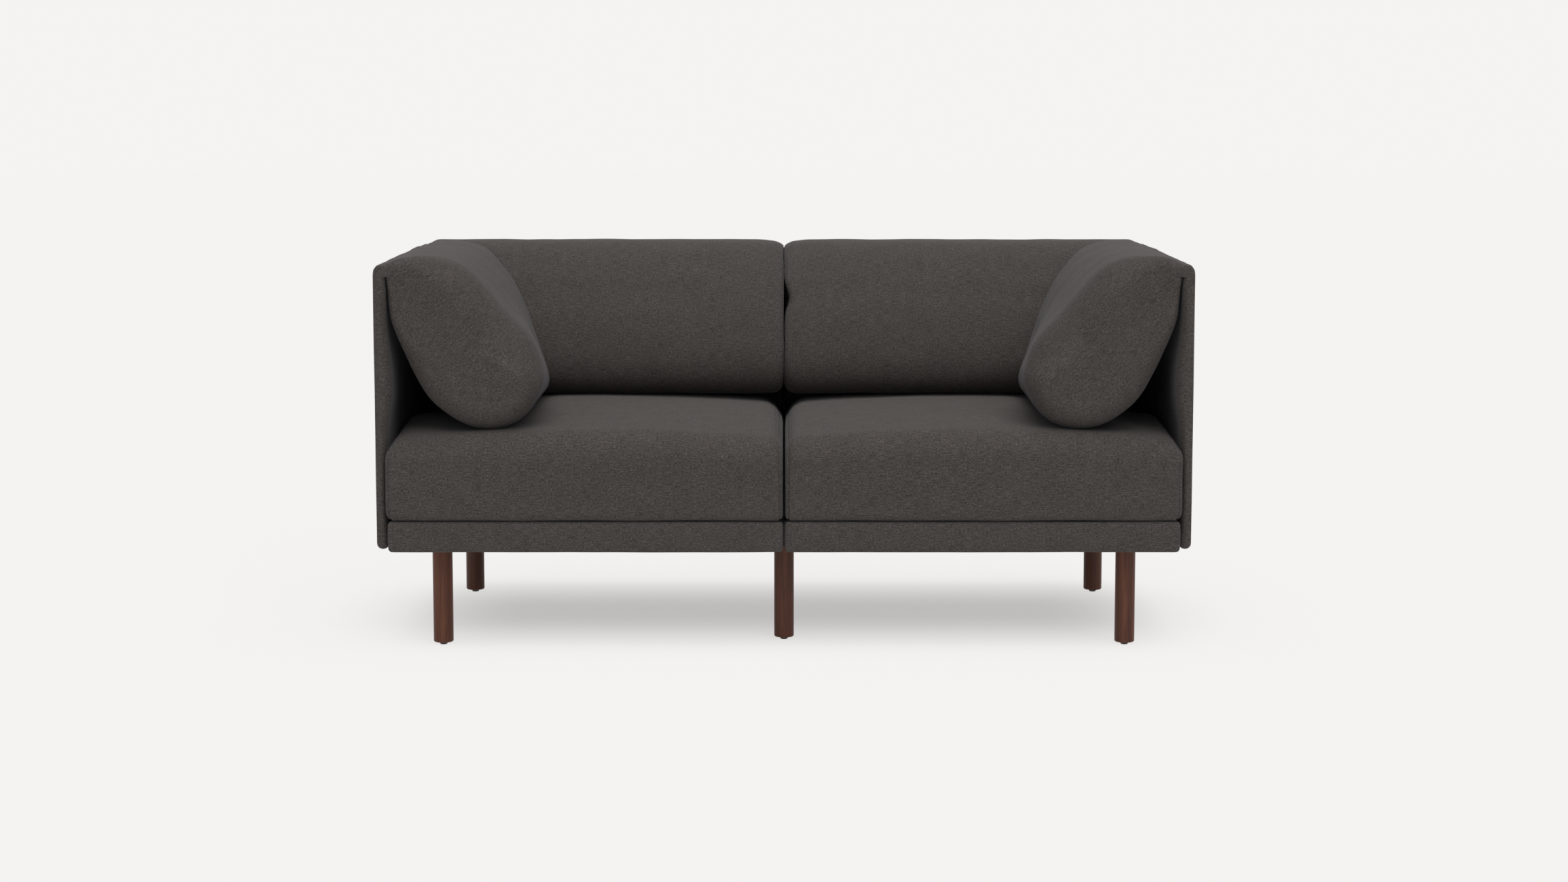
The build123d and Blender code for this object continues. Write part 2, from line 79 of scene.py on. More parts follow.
class Paint:
    # one node tree, of a material or of the world
    def __init__(self, owner, output="ShaderNodeOutputMaterial"):
        owner.use_nodes = True
        self.owner, self.tree = owner, owner.node_tree
        self.tree.nodes.clear()
        self.output = self.tree.nodes.new(output)

    def add(self, kind, settings=None, *values, out=0, **named):
        # settings first, then socket values by place or by name, with _ for a space
        node = self.tree.nodes.new(kind)
        for key, value in (settings or {}).items():
            if key == "ramp":
                stops = node.color_ramp.elements
                while len(stops) < len(value):
                    stops.new(1.0)
                for stop, (place, tint) in zip(stops, value):
                    stop.position, stop.color = place, tint
            else:
                setattr(node, key, value)
        byName = ((key.replace("_", " "), value) for key, value in named.items())
        for target, value in [*enumerate(values), *byName]:
            self.put(node.inputs[target], value)
        return Wire(self, node.outputs[out])

    def put(self, socket, value):
        if isinstance(value, Wire):
            self.tree.links.new(value.socket, socket)
        elif value is not None:
            socket.default_value = value

    def mix(self, share, first, second):
        node = self.tree.nodes.new("ShaderNodeMix")
        node.data_type = "RGBA"
        for place, value in ((0, share), (6, first), (7, second)):
            self.put(node.inputs[place], value)
        return Wire(self, node.outputs[2])

    def ramp(self, value, low, high, first=0.0, last=1.0):
        return self.add("ShaderNodeMapRange", None, value, low, high, first, last)

    def shown(self):
        # 1 where the camera, a mirror or glass looks straight at the surface
        rays = self.add("ShaderNodeLightPath").socket.node.outputs
        kinds = ("Is Camera Ray", "Is Glossy Ray", "Is Transmission Ray")
        seen, mirrored, through = [Wire(self, rays[kind]) for kind in kinds]
        return self.higher(self.higher(seen, mirrored), through)

    def higher(self, first, second):
        return self.add("ShaderNodeMath", {"operation": "MAXIMUM"}, first, second)

    def finish(self, surface):
        self.tree.links.new(surface.socket, self.output.inputs["Surface"])
        return self.owner


def colour(text):
    # "4b4744" as linear light
    parts = [int(text[i:i + 2], 16) / 255 for i in (0, 2, 4)]
    return tuple(p / 12.92 if p <= 0.04045 else ((p + 0.055) / 1.055) ** 2.4 for p in parts) + (1.0,)


cloth = {
    "dark": "353230", "middle": "4a4542", "light": "5e5956",
    # each layer: its threads' length and width, detail, place in the noise, and share of the tone
    "slub": ((0.018, 0.0016), 0.0, 0.0, 0.21), "yarn": ((0.0042, 0.0015), 1.0, 31.0, 0.49),
    "weft": ((0.0014, 0.0040), 1.0, 57.0, 0.24), "mottle": ((0.07, 0.035), 2.0, 11.0, 0.06),
    "low": 0.35, "high": 0.65, "bump": 0.22, "depth": 0.0004, "rough": (0.86, 0.95), "specular": 0.15,
    "sheen": 0.16, "sheenRoughness": 0.4, "sheenTint": "b2b4bb",
}


def clothMaterial(name, s=cloth):
    p = Paint(bpy.data.materials.new(name))
    uv = p.add("ShaderNodeUVMap", {"uv_map": "cloth"})

    def layer(kind):
        size, detail, place, share = s[kind]
        stretched = p.add("ShaderNodeMapping", None, uv, Location=(place, place * 0.7, 0),
                          Scale=(1 / size[0], 1 / size[1], 1.0))
        return p.add("ShaderNodeTexNoise", {"noise_dimensions": "2D"}, stretched,
                     Scale=1.0, Detail=detail, Roughness=0.5) * share

    weave = layer("slub") + layer("yarn") + layer("weft")
    tinted = p.add("ShaderNodeValToRGB", {"ramp": [
        (0.0, colour(s["dark"])), (0.5, colour(s["middle"])), (1.0, colour(s["light"])),
    ]}, p.ramp(weave + layer("mottle"), s["low"], s["high"]))
    bump = p.add("ShaderNodeBump", None, s["bump"], s["depth"], Height=weave * 2.0)
    rough = p.ramp(weave, 0.3, 0.6, *s["rough"])
    shader = p.add("ShaderNodeBsdfPrincipled", None, Base_Color=tinted, Roughness=rough, Normal=bump,
                   Sheen_Weight=s["sheen"], Sheen_Roughness=s["sheenRoughness"],
                   Sheen_Tint=colour(s["sheenTint"]), Specular_IOR_Level=s["specular"])
    return p.finish(shader)


wood = {
    "dark": "3d2017", "middle": "5b3526", "light": "704632", "low": 0.32, "high": 0.68,
    "grain": 0.010, "grainDrawn": 0.05, "poreScale": 900.0, "poreDrawn": 0.03, "poreShare": 0.25,
    "bump": 0.15, "depth": 0.0004, "roughness": 0.5, "specular": 0.3,
}


def woodMaterial(name, s=wood):
    p = Paint(bpy.data.materials.new(name))
    place = p.add("ShaderNodeTexCoord", None, out=3)
    drawn = p.add("ShaderNodeMapping", None, place, Scale=(1.0, 1.0, s["grainDrawn"]))
    figure = p.add("ShaderNodeTexNoise", None, drawn, Scale=1 / s["grain"], Detail=4.0, Roughness=0.6)
    pores = p.add("ShaderNodeMapping", None, place, Scale=(1.0, 1.0, s["poreDrawn"]))
    pore = p.add("ShaderNodeTexNoise", None, pores, Scale=s["poreScale"], Detail=2.0)
    tinted = p.add("ShaderNodeValToRGB", {"ramp": [
        (0.0, colour(s["dark"])), (0.5, colour(s["middle"])), (1.0, colour(s["light"])),
    ]}, p.ramp(figure * (1 - s["poreShare"]) + pore * s["poreShare"], s["low"], s["high"]))
    bump = p.add("ShaderNodeBump", None, s["bump"], s["depth"], Height=pore)
    rough = p.ramp(figure, 0.3, 0.7, s["roughness"] - 0.05, s["roughness"] + 0.1)
    return p.finish(p.add("ShaderNodeBsdfPrincipled", None, Base_Color=tinted, Roughness=rough,
                          Normal=bump, Specular_IOR_Level=s["specular"]))


def plainMaterial(name, first, second, size, roughness, metallic=0.0, bump=0.1, stretch=(1, 1, 1)):
    # two close tones in a fine noise, for lining, steel, plastic and bare wood
    p = Paint(bpy.data.materials.new(name))
    place = p.add("ShaderNodeTexCoord", None, out=3)
    scaled = p.add("ShaderNodeMapping", None, place, Scale=stretch)
    grain = p.add("ShaderNodeTexNoise", None, scaled, Scale=1 / size, Detail=3.0)
    tinted = p.mix(grain, colour(first), colour(second))
    height = p.add("ShaderNodeBump", None, bump, 0.0003, Height=grain)
    rough = p.ramp(grain, 0.3, 0.7, roughness - 0.05, roughness + 0.05)
    return p.finish(p.add("ShaderNodeBsdfPrincipled", None, Base_Color=tinted, Roughness=rough,
                          Metallic=metallic, Normal=height))


upholstery = clothMaterial("charcoalWeave")
threadMaterial = plainMaterial("charcoalThread", "2a2826", "4a4643", 0.0008, 0.8)
nodeMaterials = {
    "leg_wood": woodMaterial("walnutStain"),
    "frame_wood": plainMaterial("planedHardwood", "b08a5e", "c9a578", 0.02, 0.7, stretch=(1, 0.1, 1)),
    "plywood": plainMaterial("rawPlywood", "b8935f", "d2b181", 0.02, 0.75, stretch=(0.1, 1, 1)),
    "foam": plainMaterial("paleFoam", "d9d2bf", "efe9d8", 0.004, 0.95),
    "fibre_filling": plainMaterial("whiteFibre", "dedcd6", "f2f1ee", 0.006, 0.95),
    "lining_cloth": plainMaterial("blackLining", "0d0d0e", "202022", 0.0015, 0.9, bump=0.3),
    "steel": plainMaterial("zincPlate", "9a9a98", "c2c2c0", 0.01, 0.35, metallic=1.0),
    "glide_plastic": plainMaterial("blackGlide", "0b0b0c", "1b1b1c", 0.003, 0.45),
    "upholstery": upholstery,
}
slotOf = {s["node"]: s["material_slot"] for s in frame["record"]["subparts"]}
for nodeName, piece in frame["nodes"].items():
    piece.data.materials.clear()
    piece.data.materials.append(nodeMaterials[slotOf[nodeName]])
print("materials made")


def smoothStep(value, low, high):
    t = np.clip((np.asarray(value, float) - low) / (high - low), 0, 1)
    return t * t * (3 - 2 * t)


def bulge(share):
    # 0 at both ends and 1 in the middle
    return 1 - (2 * np.clip(share, 0, 1) - 1) ** 2


def hill(value, rise, full, fall, end):
    # from 0 up to 1, level, and back down to 0
    return smoothStep(value, rise, full) * (1 - smoothStep(value, fall, end))


def flatEnd(place):
    # an end of a soft body that stands square to its axis
    return lambda q: np.full(len(q), place)


def turning(angle):
    return np.array([[cos(angle), -sin(angle)], [sin(angle), cos(angle)]])


def curveThrough(points, count, perSpan=24):
    # a Catmull-Rom curve through the points, in equal steps
    p = np.array(points, float)
    p = np.vstack([2 * p[0] - p[1], p, 2 * p[-1] - p[-2]])
    fine = []
    for a, b, c, d in zip(p, p[1:], p[2:], p[3:]):
        for t in np.linspace(0, 1, perSpan, endpoint=False):
            fine.append(0.5 * (2 * b + (c - a) * t + (2 * a - 5 * b + 4 * c - d) * t**2
                               + (3 * b - a - 3 * c + d) * t**3))
    fine = np.array(fine + [p[-2]])
    run = np.r_[0, np.cumsum(np.linalg.norm(np.diff(fine, axis=0), axis=1))]
    steps = np.linspace(0, run[-1], count)
    return np.column_stack([np.interp(steps, run, fine[:, i]) for i in range(2)])


def roundedOutline(corners, radii, step, cornerSteps=None):
    # a closed polygon of right-angled corners, each rounded to its radius
    points = []
    corners = [np.array(c, float) for c in corners]
    for i, (corner, radius) in enumerate(zip(corners, radii)):
        following = corners[(i + 1) % len(corners)]
        before, after = corners[i - 1] - corner, following - corner
        before, after = before / np.linalg.norm(before), after / np.linalg.norm(after)
        steps = cornerSteps or max(4, int(radius * pi / 2 / step * 1.4))  # finer than the straight runs
        middle = corner + (before + after) * radius
        for k in range(steps + 1):
            angle = pi / 2 * k / steps
            points.append(middle - after * radius * cos(angle) - before * radius * sin(angle))
        start, end = points[-1], following - after * radii[(i + 1) % len(corners)]
        count = max(2, int(round(np.linalg.norm(end - start) / step)))
        points += [start + (end - start) * k / count for k in range(1, count)]
    return np.array(points)


def closedRun(points):
    # the distance along a closed line, from its first point back to it
    return np.r_[0, np.cumsum(np.linalg.norm(np.diff(np.vstack([points, points[:1]]), axis=0), axis=1))]


capPlaces = (0.03, 0.07, 0.12, 0.19, 0.28, 0.40, 0.54, 0.70, 0.86)  # rings of a flat end, as shares inwards
plainAngles = [radians(a) for a in (9, 18, 27, 36, 45, 54, 63, 72, 81, 90)]
closedBy = 0.10  # the share by which an end's outline has become its closed one
endShift = 0.41  # keeps one end's threads from mirroring the other's


def inwardNormals(outline):
    # across the line at each of its points, towards its inside
    run = np.roll(outline, -1, 0) - np.roll(outline, 1, 0)
    run /= np.linalg.norm(run, axis=1)[:, None]
    area = np.sum(outline[:, 0] * np.roll(outline[:, 1], -1) - np.roll(outline[:, 0], -1) * outline[:, 1])
    return np.column_stack([-run[:, 1], run[:, 0]]) * np.sign(area)


def clothLeft(along, inset, angle):
    # the length of cloth over an oval rounding, from an angle to the flat of the end
    t = angle + (pi / 2 - angle) * np.linspace(0, 1, 9)[:, None]
    return np.mean(np.hypot(along * np.cos(t), inset * np.sin(t)), axis=0) * (pi / 2 - angle)


def softBody(outline, centre, startOf, endOf, startRadius, endRadius, bodyStep,
             startAngles=plainAngles, endAngles=plainAngles, capTurn=0.0, bodyTurn=0.0,
             inward=None, startInset=None, capOutline=None):
    # an outline drawn along an axis, both ends rounded by a radius that may change round the outline
    outline, centre = np.asarray(outline, float), np.asarray(centre, float)
    count = len(outline)
    if inward is None:
        inward = (centre - outline) / np.linalg.norm(centre - outline, axis=1)[:, None]
    closing = outline if capOutline is None else capOutline
    turn = turning(capTurn)
    lie, rise = cos(bodyTurn), sin(bodyTurn)

    def capRings(limitOf, radius, inset, angles, sign):
        # each ring is where it is along, where it is across, and its place on the flattened cloth
        made, own = [], endShift * sign
        for angle in angles:
            q = outline + inward * (inset * (1 - np.cos(angle)))[:, None]
            flat = outline + inward * (inset - clothLeft(radius, inset, angle))[:, None]
            made.append((limitOf(q) + sign * radius * (1 - np.sin(angle)), q, flat @ turn + own))
        for share in capPlaces:
            line = outline + (closing - outline) * min(1.0, share / closedBy)
            q = centre + (line + inward * inset[:, None] - centre) * (1 - share)
            made.append((limitOf(q), q, q @ turn + own))
        brim = (outline + inward * (inset - clothLeft(radius, inset, 0.0))[:, None]) @ turn + own
        return made, brim

    startInset = startRadius if startInset is None else startInset
    startRings, startBrim = capRings(startOf, startRadius, startInset, startAngles, 1)
    endRings, endBrim = capRings(endOf, endRadius, endRadius, endAngles, -1)
    low, high = startOf(outline) + startRadius, endOf(outline) - endRadius
    steps = max(2, int(np.max(high - low) / bodyStep))
    body = [(low + (high - low) * k / steps, outline, outline) for k in range(steps + 1)]
    rings = startRings[::-1] + body + endRings
    first, last = len(startRings), len(rings) - len(endRings) - 1
    along = np.concatenate([ring[0] for ring in rings] + [startOf(centre[None]), endOf(centre[None])])
    across = np.vstack([ring[1] for ring in rings] + [centre, centre])
    poles = [centre @ turn + endShift, centre @ turn - endShift]
    flat = np.vstack([ring[2] for ring in rings] + poles)
    arc = closedRun(outline)
    faces, uvs = [], []
    for r in range(len(rings) - 1):
        inBody = first <= r < last
        brimmed = flat  # where a rounding meets the body, its flattened cloth ends on its brim
        if r == first - 1:
            brimmed = flat.copy()
            brimmed[first * count:(first + 1) * count] = startBrim
        elif r == last:
            brimmed = flat.copy()
            brimmed[last * count:(last + 1) * count] = endBrim
        for j in range(count):
            k = (j + 1) % count
            corners = (r * count + j, r * count + k, (r + 1) * count + k, (r + 1) * count + j)
            faces.append(corners)
            if inBody:
                pairs = [(along[c], arc[n]) for c, n in zip(corners, (j, j + 1, j + 1, j))]
                uvs += [(a * lie + b * rise, b * lie - a * rise) for a, b in pairs]
            else:
                uvs += [tuple(brimmed[c]) for c in corners]
    for pole, ring in ((len(rings) * count, 0), (len(rings) * count + 1, len(rings) - 1)):
        for j in range(count):
            corners = (pole, ring * count + j, ring * count + (j + 1) % count)
            faces.append(corners)
            uvs += [tuple(flat[c]) for c in corners]
    caps = {"start": list(range(first))[::-1], "end": list(range(last + 1, len(rings)))}
    return along, across, faces, uvs, caps


def shiftEnds(uvs, faces, caps, count, move):
    # the flattened cloth of both ends follows points that were moved across
    first, last = len(caps["start"]), caps["end"][0] - 1
    corners = [(n // count, c) for n, face in enumerate(faces) for c in face]
    return [uv if first <= ring < last else (uv[0] + move[c][0], uv[1] + move[c][1])
            for uv, (ring, c) in zip(uvs, corners)]


def addObject(name, data):
    made = bpy.data.objects.new(name, data)
    bpy.context.scene.collection.objects.link(made)
    return made


def makePiece(name, points, faces, uvs):
    mesh = bpy.data.meshes.new(name)
    mesh.from_pydata([tuple(map(float, p)) for p in points], [], faces)
    layer = mesh.uv_layers.new(name="cloth")
    own = 1.37 * len(bpy.data.meshes)  # so that no two pieces share their threads
    layer.data.foreach_set("uv", (np.array(uvs) + own).astype(np.float32).ravel())
    work = bmesh.new()
    work.from_mesh(mesh)
    bmesh.ops.recalc_face_normals(work, faces=work.faces)
    work.to_mesh(mesh)
    work.free()
    mesh.materials.append(upholstery)
    mesh.shade_smooth()
    return addObject(name, mesh)


def vertexField(piece, field):
    values = np.zeros(len(piece.data.vertices) * 3, np.float32)
    piece.data.vertices.foreach_get(field, values)
    return values.reshape(-1, 3).astype(float)


def setPoints(piece, places):
    piece.data.vertices.foreach_set("co", np.asarray(places, np.float32).ravel())
    piece.data.update()


def soften(piece, amount, size, seed):
    # a smooth uneven swelling, the same at each run
    places = vertexField(piece, "co")
    shift = Vector((seed, seed * 0.37, -seed))
    wave = [noise.noise(Vector(p) / size + shift) + 0.4 * noise.noise(Vector(p) / size * 2.4 - shift)
            for p in places]
    setPoints(piece, places + vertexField(piece, "normal") * (np.array(wave) * amount)[:, None])


def finishSoft(piece, nodes, rides=True):
    if rides:
        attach(piece, "frame")
    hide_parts(*nodes)


seat = {
    "edgeTop": 0.424, "crownDeep": 0.020, "crownAcross": 0.016, "play": 0.0006,
    "frontRadius": 0.048, "rearRadius": 0.052, "edgeRadius": 0.013,
    "shoulderIn": 0.036, "shoulderInRear": 0.050, "shoulderSpan": (-0.2, 0.34), "shoulderLow": 0.335,
    "shoulderOut": 0.034, "shoulderLowOut": 0.385,
    # lower where the arm cushion's weight lies on it, behind the front roll
    "pressed": 0.009, "pressedAcross": (0.48, 0.58, 0.62, 0.72), "pressedDeep": (-0.39, -0.29, 0.10, 0.26),
    # and lower still in the hollow between that cushion and the panel
    "sunk": 0.024, "sunkAcross": (0.62, 0.72), "sunkDeep": (-0.13, 0.03, 0.14, 0.28),
    "liftHeight": 0.02, "belly": 0.004, "bellyDepth": 0.06,
    "seamInset": 0.0062, "seamHalf": 0.0017, "seamDepth": 0.0026, "welt": 0.0005, "threadRise": 0.0001,
    # the front corner swells over the panel's rounded edge
    "overPanel": 0.0042, "overAcross": (0.70, 0.79), "overDeep": (-0.402, -0.375),
    "step": 0.008, "uneven": 0.0012, "unevenSize": 0.13, "seed": 3.0,
}


def seatTop(x, y, s=seat):
    width, depth = sofa["moduleOut"] - sofa["moduleIn"], sofa["backWall"] - sofa["front"]
    across = bulge((np.abs(x) - sofa["moduleIn"]) / width)
    deep = bulge((y - sofa["front"]) / depth)
    dent = hill(np.abs(x), *s["pressedAcross"]) * hill(y, *s["pressedDeep"])
    hollow = smoothStep(np.abs(x), *s["sunkAcross"]) * hill(y, *s["sunkDeep"])
    return (s["edgeTop"] + s["crownAcross"] * across + s["crownDeep"] * deep
            - s["pressed"] * dent - s["sunk"] * hollow)


def seamAngles(radius, s=seat):
    # rings from the outline to the flat gusset; the fourth is the seam, a set way in from the side
    seam = np.arcsin(1 - s["seamInset"] / radius)
    half = s["seamHalf"] / radius
    rest = pi / 2 - seam
    return [seam * 0.3, seam * 0.65, seam - half, seam, seam + half,
            *(seam + half + (rest - half) * share for share in (0.3, 0.6, 0.8, 1.0))]


def makeSeat(word, s=seat):
    side = sides[word]
    low, high, top = sofa["front"], sofa["backWall"] - s["play"], s["edgeTop"]
    bottom = sofa["baseTop"] + s["play"]
    outline = roundedOutline([(low, bottom), (high, bottom), (high, top), (low, top)],
                             [s["edgeRadius"], s["edgeRadius"], s["rearRadius"], s["frontRadius"]], s["step"])
    rise, riseOut = [smoothStep(outline[:, 1], s[key], top) for key in ("shoulderLow", "shoulderLowOut")]
    toRear = smoothStep(outline[:, 0], *s["shoulderSpan"])
    shoulder = s["shoulderIn"] + (s["shoulderInRear"] - s["shoulderIn"]) * toRear
    inner = s["edgeRadius"] + (shoulder - s["edgeRadius"]) * rise
    outer = s["edgeRadius"] + (s["shoulderOut"] - s["edgeRadius"]) * riseOut
    start, end = sofa["moduleIn"] + s["play"], sofa["moduleOut"] - s["play"]
    along, across, faces, uvs, caps = softBody(
        outline, (0.5 * (low + high), 0.5 * (bottom + top)), flatEnd(start), flatEnd(end),
        inner, outer, s["step"], seamAngles(inner), seamAngles(outer), inward=inwardNormals(outline))
    x, y, z = along, across[:, 0], across[:, 1]
    lift = smoothStep(z, bottom + s["liftHeight"], top) * (seatTop(x, y) - s["edgeTop"])
    face = bulge((z - bottom) / (top - bottom)) * bulge((x - start) / (end - start)) ** 0.5
    y = y - s["belly"] * face * (1 - smoothStep(y, low, low + s["bellyDepth"]))
    piece = makePiece(f"seatCushion_{word}", np.column_stack([side * x, y, z + lift]), faces, uvs)
    soften(piece, s["uneven"], s["unevenSize"], s["seed"] + side)
    count = len(outline)
    places, normals = vertexField(piece, "co"), vertexField(piece, "normal")
    seams = []
    for rings in caps.values():
        # the stitches run beside the seam's groove, and a low welt beyond it
        threadLine = np.arange(rings[1] * count, (rings[1] + 1) * count)
        seams.append(places[threadLine] + normals[threadLine] * s["threadRise"])
        for place, push in ((3, -s["seamDepth"]), (2, -0.2 * s["seamDepth"]), (5, s["welt"])):
            ring = np.arange(rings[place] * count, (rings[place] + 1) * count)
            places[ring] += normals[ring] * push
    places[:, 0] = side * np.clip(side * places[:, 0], sofa["moduleIn"] + sofa["clear"],
                                  sofa["moduleOut"] - sofa["clear"])
    over = smoothStep(side * places[:, 0], *s["overAcross"]) * (1 - smoothStep(places[:, 1], *s["overDeep"]))
    places[:, 0] += side * s["overPanel"] * over * smoothStep(places[:, 2], bottom, bottom + s["liftHeight"])
    places[:, 1] = np.minimum(places[:, 1], sofa["backWall"])
    places[:, 2] = np.maximum(places[:, 2], sofa["baseTop"] + sofa["clear"])
    setPoints(piece, places)
    finishSoft(piece, [f"seat_cushion_{word}"])
    return seams


seatSeams = {word: makeSeat(word) for word in sides}
print("seat cushions made")

hung = {
    # distance from the panel and height, over the top, down the inner side, and up the side by the panel
    "outline": [(0.0006, 0.7732), (0.012, 0.7796), (0.030, 0.7860), (0.055, 0.7876), (0.085, 0.7862),
                (0.115, 0.7800), (0.145, 0.7660), (0.171, 0.7440), (0.200, 0.7110), (0.225, 0.6730),
                (0.249, 0.6330), (0.269, 0.5870), (0.284, 0.5400), (0.289, 0.5060), (0.284, 0.4770),
                (0.266, 0.4570), (0.239, 0.4460), (0.208, 0.4420), (0.180, 0.4440), (0.154, 0.4510),
                (0.125, 0.4660), (0.093, 0.4900), (0.070, 0.5170), (0.049, 0.5550), (0.0335, 0.5900),
                (0.018, 0.6300), (0.008, 0.6650), (0.0045, 0.7000), (0.0030, 0.7300), (0.0012, 0.7480),
                (0.0008, 0.7680)],
    # the strip over the panel's top: first its underside, then its upper side
    "under": [(-0.0006, 0.7702), (-0.0060, 0.7702), (-0.0115, 0.7702), (-0.0160, 0.7699)],
    "over": [(-0.0178, 0.7699), (-0.0150, 0.7716), (-0.0108, 0.7726), (-0.0054, 0.7730)],
    "bottom": 0.442, "top": 0.774, "steps": 170, "rest": 0.0010, "step": 0.008,
    "slackSpan": (0.02, 0.2), "uneven": 0.0014, "unevenSize": 0.11,
}


def hungOutline(bottom, top, s=hung):
    ring = np.vstack([curveThrough(s["outline"], s["steps"]), s["under"], s["over"]])
    low = smoothStep(s["top"] - ring[:, 1], 0, s["top"] - s["bottom"])
    ring[:, 1] += (top - s["top"]) + ((bottom - s["bottom"]) - (top - s["top"])) * low
    return ring


def onStrip(count, s=hung):
    return np.arange(count) >= s["steps"]


def closedStrip(outline, s=hung):
    # the outline with its strip drawn in, for the flat of the ends
    line = outline.copy()
    count = len(outline) - s["steps"]
    for k in range(count):
        share = (k + 1) / (count + 1)
        line[s["steps"] + k] = outline[s["steps"] - 1] * (1 - share) + outline[0] * share
    return line


backCushion = {
    "centre": (0.155, 0.605), "restsAt": (0.395, 0.184), "toMiddle": 0.0009, "toPanel": 0.0006,
    # roundings of the ends: larger at the foot and the top, small by the hinge and on its strip
    "innerRadius": 0.013, "footMore": 0.012, "footSpan": 0.1, "topMore": 0.010, "topSpan": (0.70, 0.775),
    "outerRadius": 0.026, "hingeRadius": 0.003, "hingeSpan": 0.05, "innerGrowth": 0.025, "outerGrowth": 0.030,
    "stripRadius": 0.002,
    "slack": 0.02, "droop": 0.0045, "droopDepth": 0.06, "droopSpan": (0.73, 0.78), "seed": 13.0,
}
backTop = sofa["panelTop"] + sofa["close"]
backBottom = float(seatTop(*backCushion["restsAt"])) + hung["rest"]
backOutline = hungOutline(backBottom, backTop)

# the dimple and fold high on the inner side of the right back cushion
pinch = {
    "height": 0.664, "span": 0.026, "back": (0.20, 0.30), "depth": 0.0115, "reach": 0.045,
    "fold": 0.0055, "foldReach": (0.002, 0.030), "foldDrop": 0.6, "foldSlope": 0.02, "foldSharp": 1.6,
}


def backFront(z):
    # how far forward the back cushion stands at a height, above its belly
    cushion = backOutline[:hung["steps"]]
    upper = cushion[4:int(np.argmax(cushion[:, 0])) + 1]  # without the few points on the panel's top
    order = np.argsort(upper[:, 1])
    return sofa["backWall"] - np.interp(z, upper[order, 1], upper[order, 0])


def pinched(places, s=pinch):
    inward = places[:, 0] - sofa["moduleIn"]
    rise = (places[:, 2] - s["height"]) / s["span"]
    front = 1 - smoothStep(places[:, 1], *s["back"])
    dent = np.exp(-rise**2) * (1 - smoothStep(inward, 0.0, s["reach"])) * front
    slope = (rise + s["foldDrop"] - inward / s["foldSlope"]) * s["foldSharp"]
    fold = np.exp(-slope**2) * (1 - smoothStep(inward, *s["foldReach"])) * front
    moved = places.copy()
    moved[:, 0] += s["depth"] * dent
    moved[:, 1] += s["fold"] * fold
    return moved


def makeBack(word, s=backCushion):
    side, outline = sides[word], backOutline
    start, end = sofa["moduleIn"] - s["toMiddle"], sofa["moduleOut"] - s["toPanel"]
    foot = 1 - smoothStep(outline[:, 1], backBottom, backBottom + s["footSpan"])
    hinge = smoothStep(np.hypot(outline[:, 0], outline[:, 1] - backTop), 0.0, s["hingeSpan"])
    top = smoothStep(outline[:, 1], *s["topSpan"])
    inner = np.minimum(s["innerRadius"] + s["footMore"] * foot + s["topMore"] * top,
                       s["hingeRadius"] + s["innerGrowth"] * hinge)
    outer = np.minimum(s["outerRadius"], s["hingeRadius"] + s["outerGrowth"] * hinge)
    strip = onStrip(len(outline))
    inner[strip] = outer[strip] = s["stripRadius"]
    along, across, faces, uvs = softBody(
        outline, s["centre"], flatEnd(start), flatEnd(end), inner, outer, hung["step"],
        capOutline=closedStrip(outline))[:4]
    share = (along - start) / (end - start)
    reach = 1 - s["slack"] * (1 - bulge(share)) * smoothStep(across[:, 0], *hung["slackSpan"])
    atMiddle = 1 - smoothStep(along, start, start + s["droopDepth"])
    droop = s["droop"] * atMiddle * smoothStep(across[:, 1], *s["droopSpan"])
    places = np.column_stack([side * along, sofa["backWall"] - across[:, 0] * reach, across[:, 1] - droop])
    piece = makePiece(f"backCushion_{word}", places, faces, uvs)
    soften(piece, hung["uneven"], hung["unevenSize"], s["seed"] + side)
    places = vertexField(piece, "co")
    if word == "right":
        places = pinched(places)
    places[:, 0] = side * np.clip(side * places[:, 0], sofa["close"], sofa["moduleOut"] - sofa["clear"])
    setPoints(piece, places)
    finishSoft(piece, [f"back_cushion_{word}", f"back_hinge_strip_{word}"])


armCushion = {
    "centre": (0.155, 0.600), "endWeave": 33, "bodyWeave": 40,  # degrees that the cloth's threads are turned
    # rounding of the front end, less at the foot, by the hinge and on its strip
    "frontRadius": 0.072, "footRadius": 0.048, "footTop": 0.60, "footSpan": 0.12,
    "hingeRadius": 0.014, "hingeSpan": (0.005, 0.12), "panelSide": 0.1, "panelSpan": (0.07, 0.30),
    "stripRadius": 0.007, "rearRadius": 0.014, "stripRear": 0.004,
    # the inner side turns into the front over a longer way
    "longRound": 0.030, "longAcross": (0.05, 0.20), "longUp": (0.46, 0.56),
    "faceBack": 0.010, "faceTop": 0.762, "faceSpan": (0.012, 0.055), "gap": 0.0022, "reach": 0.255,
    # the side by the panel follows the panel's rounded corner, and is drawn in behind its edge
    "noseRadius": 0.022, "tuck": 0.0020, "wallSpan": (0.004, 0.020), "wallSteps": 5,
    "restInset": 0.21, "restTop": 0.62, "slack": 0.015,
    # the belly is fuller at the front, where the cushion rests on its lower corner, than at the back
    "fuller": 0.038, "slimmer": 0.010, "bellyAcross": (0.14, 0.27), "bellyUp": (0.472, 0.56, 0.60, 0.72),
    "cornerAcross": (0.19, 0.26), "cornerUp": (0.45, 0.50), "frontSpan": (-0.31, 0.06),
    "bendOut": 0.0100, "bendIn": 0.0025, "bendHeight": 0.772, "seed": 23.0,
}


